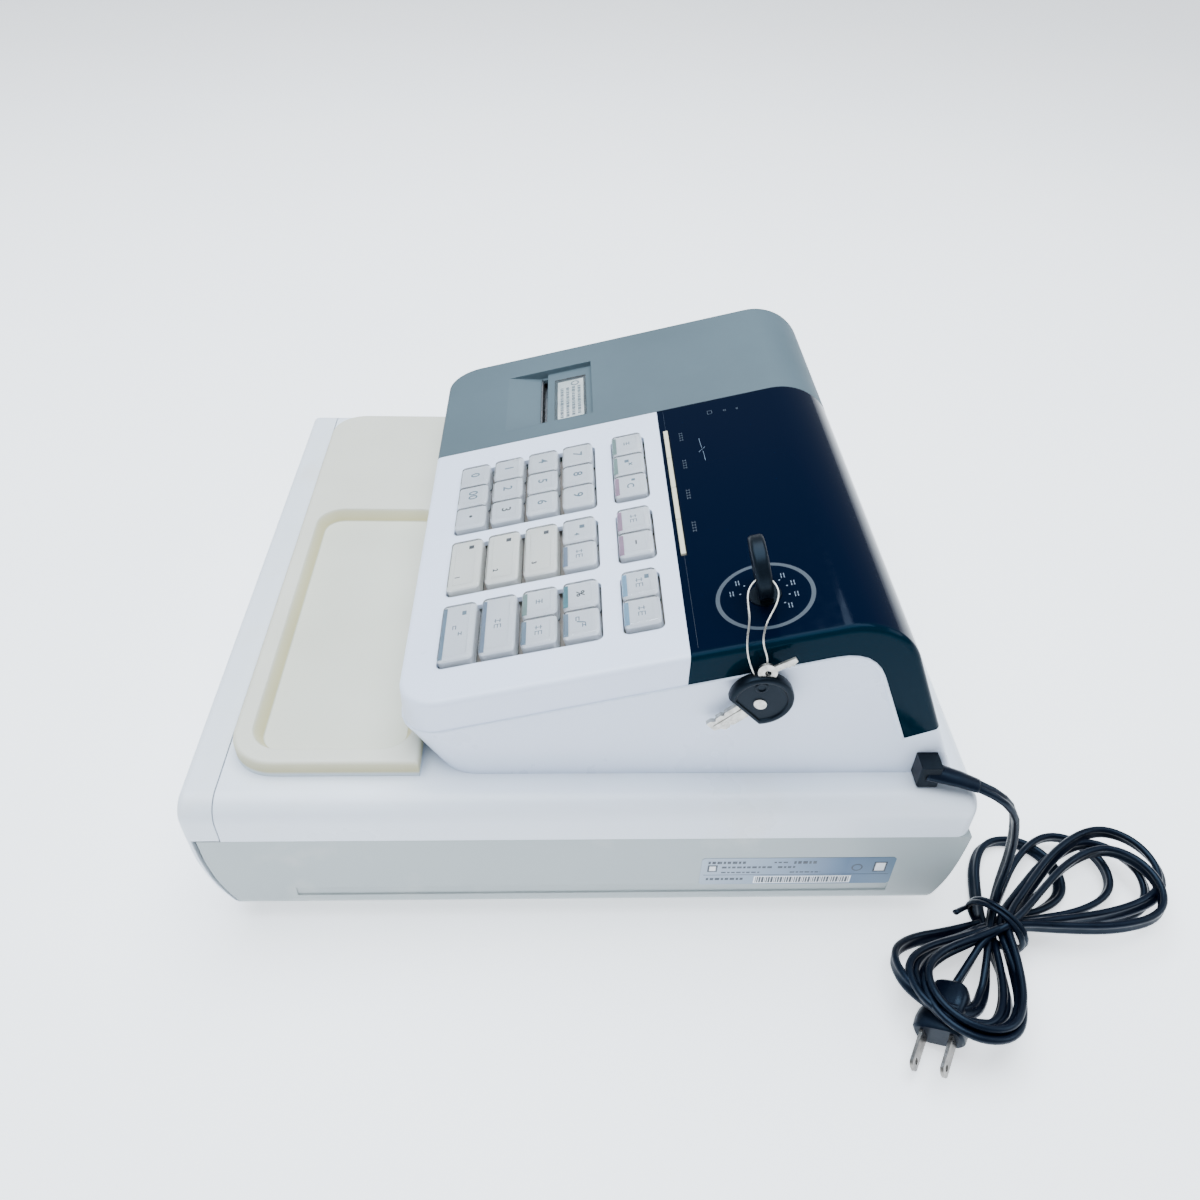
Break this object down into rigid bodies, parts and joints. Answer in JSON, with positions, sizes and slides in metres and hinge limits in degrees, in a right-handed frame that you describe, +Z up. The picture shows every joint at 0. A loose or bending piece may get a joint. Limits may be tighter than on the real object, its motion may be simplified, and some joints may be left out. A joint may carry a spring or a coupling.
{
  "type": "cash register",
  "caption": "Compact electronic cash register with a front drawer, item tray, sloped keyboard, dark display panel with mode lock, receipt printer under a lift-off cover and tied mains lead.",
  "frame": {"origin": "table level, at the middle of the cabinet's footprint", "axes": "+X operator's right, +Y towards the back, +Z up; the drawer opens along -Y"},
  "size_m": [0.4117, 0.4605, 0.1874],
  "materials": {
    "case_white": "satin",
    "housing_white": "satin",
    "tray_cream": "satin",
    "cover_grey": "fine texture",
    "window_dark": "gloss",
    "key_clear": "clear cap over print",
    "button_cream": "satin",
    "mat_taupe": "matt",
    "board_green": "solder mask",
    "core_steel": "laminated",
    "frame_steel": "plated",
    "roller_rubber": "matt",
    "roll_paper": "paper",
    "pane_clear": "clear",
    "key_black": "moulded",
    "wire_steel": "drawn",
    "spare_key_black": "moulded with steel blade",
    "cord_black": "soft vinyl",
    "gland_black": "moulded",
    "plug_black": "moulded, plated blades",
    "feet_rubber": "matt",
    "drawer_grey": "satin",
    "insert_grey": "satin",
    "latch_steel": "plated"
  },
  "bodies": {
    "cabinet": {"lower_case": "case_white", "cabinet_top": "case_white", "rubber_feet": "feet_rubber", "accessory_tray": "tray_cream", "lower_housing": "housing_white", "keyboard_housing": "housing_white", "display_window": "window_dark", "main_board": "board_green", "contact_sheet": "mat_taupe", "transformer": "core_steel", "printer_frame": "frame_steel", "cord_gland": "gland_black", "power_cord": "cord_black", "cord_hank": "cord_black", "power_plug": "plug_black"},
    "drawer": {"drawer_front": "case_white", "drawer_box": "drawer_grey", "coin_insert": "insert_grey"},
    "cover": {"printer_cover": "cover_grey", "journal_window": "pane_clear"},
    "latch": {"release_latch": "latch_steel"},
    "mode": {"mode_key": "key_black"},
    "ring": {"ring_wire": "wire_steel", "spare_keys": "spare_key_black"},
    "platen": {"platen_roller": "roller_rubber"},
    "roll": {"paper_roll": "roll_paper"},
    "key_0_body": {"key_0": "key_clear"},
    "key_00_body": {"key_00": "key_clear"},
    "key_dot_body": {"key_dot": "key_clear"},
    "key_1_body": {"key_1": "key_clear"},
    "key_2_body": {"key_2": "key_clear"},
    "key_3_body": {"key_3": "key_clear"},
    "key_4_body": {"key_4": "key_clear"},
    "key_5_body": {"key_5": "key_clear"},
    "key_6_body": {"key_6": "key_clear"},
    "key_7_body": {"key_7": "key_clear"},
    "key_8_body": {"key_8": "key_clear"},
    "key_9_body": {"key_9": "key_clear"},
    "key_cash_body": {"key_cash": "key_clear"},
    "key_cash_in_body": {"key_cash_in": "key_clear"},
    "key_cash_out_body": {"key_cash_out": "key_clear"},
    "key_clear_body": {"key_clear": "key_clear"},
    "key_correct_body": {"key_correct": "key_clear"},
    "key_credit_body": {"key_credit": "key_clear"},
    "key_dept_1_body": {"key_dept_1": "key_clear"},
    "key_dept_2_body": {"key_dept_2": "key_clear"},
    "key_dept_3_body": {"key_dept_3": "key_clear"},
    "key_dept_4_body": {"key_dept_4": "key_clear"},
    "key_minus_body": {"key_minus": "key_clear"},
    "key_multiply_body": {"key_multiply": "key_clear"},
    "key_no_sale_body": {"key_no_sale": "key_clear"},
    "key_percent_body": {"key_percent": "key_clear"},
    "key_receipt_body": {"key_receipt": "key_clear"},
    "key_shift_body": {"key_shift": "key_clear"},
    "key_subtotal_body": {"key_subtotal": "key_clear"},
    "key_voucher_body": {"key_voucher": "key_clear"},
    "button_1_body": {"button_1": "button_cream"},
    "button_2_body": {"button_2": "button_cream"},
    "button_3_body": {"button_3": "button_cream"},
    "button_4_body": {"button_4": "button_cream"}
  },
  "joints": [
    {"name": "drawer_slide", "type": "slide", "parent": "cabinet", "child": "drawer", "axis": [0, -1, 0], "range_m": [0, 0.21]},
    {"name": "cover_lift", "type": "slide", "parent": "cabinet", "child": "cover", "axis": [0, -0.2482, 0.9687], "range_m": [0, 0.08]},
    {"name": "mode_turn", "type": "hinge", "parent": "cabinet", "child": "mode", "pos_m": [0.1159, 0.07299, 0.15932], "axis": [0, -0.2482, 0.9687], "range_deg": [-134, 72], "deforming": ["ring_wire"]},
    {"name": "ring_swing", "type": "hinge", "parent": "cabinet", "child": "ring", "pos_m": [0.125, 0.06885, 0.17549], "axis": [0, -1, 0], "range_deg": [0, 70]},
    {"name": "paper_feed", "type": "hinge", "parent": "cabinet", "child": "platen", "pos_m": [-0.0897, -0.01221, 0.12241], "axis": [1, 0, 0], "continuous": true},
    {"name": "roll_turn", "type": "hinge", "parent": "cabinet", "child": "roll", "pos_m": [-0.0897, 0.05279, 0.1142], "axis": [1, 0, 0], "continuous": true},
    {"name": "latch_drop", "type": "hinge", "parent": "cabinet", "child": "latch", "pos_m": [0, 0.1475, 0.0705], "axis": [1, 0, 0], "range_deg": [0, 8], "stiffness_Nm_per_rad": 0.05, "springref_deg": -2.86},
    {"name": "key_0_press", "type": "slide", "parent": "cabinet", "child": "key_0_body", "axis": [0, 0.2482, -0.9687], "range_m": [0, 0.0023], "stiffness_N_per_m": 150, "springref_m": -0.002},
    {"name": "key_00_press", "type": "slide", "parent": "cabinet", "child": "key_00_body", "axis": [0, 0.2482, -0.9687], "range_m": [0, 0.0023], "stiffness_N_per_m": 150, "springref_m": -0.002},
    {"name": "key_dot_press", "type": "slide", "parent": "cabinet", "child": "key_dot_body", "axis": [0, 0.2482, -0.9687], "range_m": [0, 0.0023], "stiffness_N_per_m": 150, "springref_m": -0.002},
    {"name": "key_1_press", "type": "slide", "parent": "cabinet", "child": "key_1_body", "axis": [0, 0.2482, -0.9687], "range_m": [0, 0.0023], "stiffness_N_per_m": 150, "springref_m": -0.002},
    {"name": "key_2_press", "type": "slide", "parent": "cabinet", "child": "key_2_body", "axis": [0, 0.2482, -0.9687], "range_m": [0, 0.0023], "stiffness_N_per_m": 150, "springref_m": -0.002},
    {"name": "key_3_press", "type": "slide", "parent": "cabinet", "child": "key_3_body", "axis": [0, 0.2482, -0.9687], "range_m": [0, 0.0023], "stiffness_N_per_m": 150, "springref_m": -0.002},
    {"name": "key_4_press", "type": "slide", "parent": "cabinet", "child": "key_4_body", "axis": [0, 0.2482, -0.9687], "range_m": [0, 0.0023], "stiffness_N_per_m": 150, "springref_m": -0.002},
    {"name": "key_5_press", "type": "slide", "parent": "cabinet", "child": "key_5_body", "axis": [0, 0.2482, -0.9687], "range_m": [0, 0.0023], "stiffness_N_per_m": 150, "springref_m": -0.002},
    {"name": "key_6_press", "type": "slide", "parent": "cabinet", "child": "key_6_body", "axis": [0, 0.2482, -0.9687], "range_m": [0, 0.0023], "stiffness_N_per_m": 150, "springref_m": -0.002},
    {"name": "key_7_press", "type": "slide", "parent": "cabinet", "child": "key_7_body", "axis": [0, 0.2482, -0.9687], "range_m": [0, 0.0023], "stiffness_N_per_m": 150, "springref_m": -0.002},
    {"name": "key_8_press", "type": "slide", "parent": "cabinet", "child": "key_8_body", "axis": [0, 0.2482, -0.9687], "range_m": [0, 0.0023], "stiffness_N_per_m": 150, "springref_m": -0.002},
    {"name": "key_9_press", "type": "slide", "parent": "cabinet", "child": "key_9_body", "axis": [0, 0.2482, -0.9687], "range_m": [0, 0.0023], "stiffness_N_per_m": 150, "springref_m": -0.002},
    {"name": "key_cash_press", "type": "slide", "parent": "cabinet", "child": "key_cash_body", "axis": [0, 0.2482, -0.9687], "range_m": [0, 0.0023], "stiffness_N_per_m": 150, "springref_m": -0.002},
    {"name": "key_cash_in_press", "type": "slide", "parent": "cabinet", "child": "key_cash_in_body", "axis": [0, 0.2482, -0.9687], "range_m": [0, 0.0023], "stiffness_N_per_m": 150, "springref_m": -0.002},
    {"name": "key_cash_out_press", "type": "slide", "parent": "cabinet", "child": "key_cash_out_body", "axis": [0, 0.2482, -0.9687], "range_m": [0, 0.0023], "stiffness_N_per_m": 150, "springref_m": -0.002},
    {"name": "key_clear_press", "type": "slide", "parent": "cabinet", "child": "key_clear_body", "axis": [0, 0.2482, -0.9687], "range_m": [0, 0.0023], "stiffness_N_per_m": 150, "springref_m": -0.002},
    {"name": "key_correct_press", "type": "slide", "parent": "cabinet", "child": "key_correct_body", "axis": [0, 0.2482, -0.9687], "range_m": [0, 0.0023], "stiffness_N_per_m": 150, "springref_m": -0.002},
    {"name": "key_credit_press", "type": "slide", "parent": "cabinet", "child": "key_credit_body", "axis": [0, 0.2482, -0.9687], "range_m": [0, 0.0023], "stiffness_N_per_m": 150, "springref_m": -0.002},
    {"name": "key_dept_1_press", "type": "slide", "parent": "cabinet", "child": "key_dept_1_body", "axis": [0, 0.2482, -0.9687], "range_m": [0, 0.0023], "stiffness_N_per_m": 150, "springref_m": -0.002},
    {"name": "key_dept_2_press", "type": "slide", "parent": "cabinet", "child": "key_dept_2_body", "axis": [0, 0.2482, -0.9687], "range_m": [0, 0.0023], "stiffness_N_per_m": 150, "springref_m": -0.002},
    {"name": "key_dept_3_press", "type": "slide", "parent": "cabinet", "child": "key_dept_3_body", "axis": [0, 0.2482, -0.9687], "range_m": [0, 0.0023], "stiffness_N_per_m": 150, "springref_m": -0.002},
    {"name": "key_dept_4_press", "type": "slide", "parent": "cabinet", "child": "key_dept_4_body", "axis": [0, 0.2482, -0.9687], "range_m": [0, 0.0023], "stiffness_N_per_m": 150, "springref_m": -0.002},
    {"name": "key_minus_press", "type": "slide", "parent": "cabinet", "child": "key_minus_body", "axis": [0, 0.2482, -0.9687], "range_m": [0, 0.0023], "stiffness_N_per_m": 150, "springref_m": -0.002},
    {"name": "key_multiply_press", "type": "slide", "parent": "cabinet", "child": "key_multiply_body", "axis": [0, 0.2482, -0.9687], "range_m": [0, 0.0023], "stiffness_N_per_m": 150, "springref_m": -0.002},
    {"name": "key_no_sale_press", "type": "slide", "parent": "cabinet", "child": "key_no_sale_body", "axis": [0, 0.2482, -0.9687], "range_m": [0, 0.0023], "stiffness_N_per_m": 150, "springref_m": -0.002},
    {"name": "key_percent_press", "type": "slide", "parent": "cabinet", "child": "key_percent_body", "axis": [0, 0.2482, -0.9687], "range_m": [0, 0.0023], "stiffness_N_per_m": 150, "springref_m": -0.002},
    {"name": "key_receipt_press", "type": "slide", "parent": "cabinet", "child": "key_receipt_body", "axis": [0, 0.2482, -0.9687], "range_m": [0, 0.0023], "stiffness_N_per_m": 150, "springref_m": -0.002},
    {"name": "key_shift_press", "type": "slide", "parent": "cabinet", "child": "key_shift_body", "axis": [0, 0.2482, -0.9687], "range_m": [0, 0.0023], "stiffness_N_per_m": 150, "springref_m": -0.002},
    {"name": "key_subtotal_press", "type": "slide", "parent": "cabinet", "child": "key_subtotal_body", "axis": [0, 0.2482, -0.9687], "range_m": [0, 0.0023], "stiffness_N_per_m": 150, "springref_m": -0.002},
    {"name": "key_voucher_press", "type": "slide", "parent": "cabinet", "child": "key_voucher_body", "axis": [0, 0.2482, -0.9687], "range_m": [0, 0.0023], "stiffness_N_per_m": 150, "springref_m": -0.002},
    {"name": "button_1_press", "type": "slide", "parent": "cabinet", "child": "button_1_body", "axis": [0, 0.2482, -0.9687], "range_m": [0, 0.0007], "stiffness_N_per_m": 120, "springref_m": -0.001},
    {"name": "button_2_press", "type": "slide", "parent": "cabinet", "child": "button_2_body", "axis": [0, 0.2482, -0.9687], "range_m": [0, 0.0007], "stiffness_N_per_m": 120, "springref_m": -0.001},
    {"name": "button_3_press", "type": "slide", "parent": "cabinet", "child": "button_3_body", "axis": [0, 0.2482, -0.9687], "range_m": [0, 0.0007], "stiffness_N_per_m": 120, "springref_m": -0.001},
    {"name": "button_4_press", "type": "slide", "parent": "cabinet", "child": "button_4_body", "axis": [0, 0.2482, -0.9687], "range_m": [0, 0.0007], "stiffness_N_per_m": 120, "springref_m": -0.001}
  ],
  "couplings": [
    {"joint": "roll_turn", "follows": "paper_feed", "ratio": 0.24}
  ]
}
